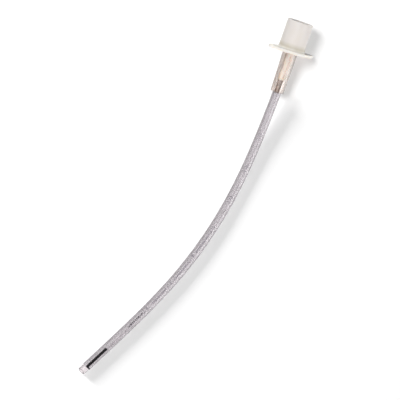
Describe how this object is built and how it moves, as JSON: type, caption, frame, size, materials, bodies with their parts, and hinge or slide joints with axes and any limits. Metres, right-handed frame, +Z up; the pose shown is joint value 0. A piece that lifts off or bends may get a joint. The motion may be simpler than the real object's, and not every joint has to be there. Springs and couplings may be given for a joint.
{
  "type": "endotracheal tube",
  "caption": "Small uncuffed tracheal tube with a wire coil in its clear wall, a bevelled soft tip, and a winged 15 mm conical connector with a clear sleeve, lying flat.",
  "frame": {"origin": "on the surface that the tube lies on, under the middle of its bounding box", "axes": "+Z up from that surface; +X towards the machine end with its connector; the tube's curve bulges towards -Y"},
  "size_m": [0.2398, 0.0336, 0.0213],
  "materials": {
    "connector_plastic": "milky translucent moulded polypropylene",
    "clear_sleeve": "clear soft vinyl, glossy",
    "clear_wall": "clear soft vinyl, slightly hazy",
    "clear_tip": "clear soft vinyl, glossy",
    "spring_wire": "bright drawn stainless wire"
  },
  "bodies": {
    "root": {"connector": "connector_plastic", "connector_sleeve": "clear_sleeve", "inner_liner": "clear_wall", "outer_jacket": "clear_wall", "reinforcing_wire": "spring_wire", "soft_tip": "clear_tip"}
  },
  "joints": []
}
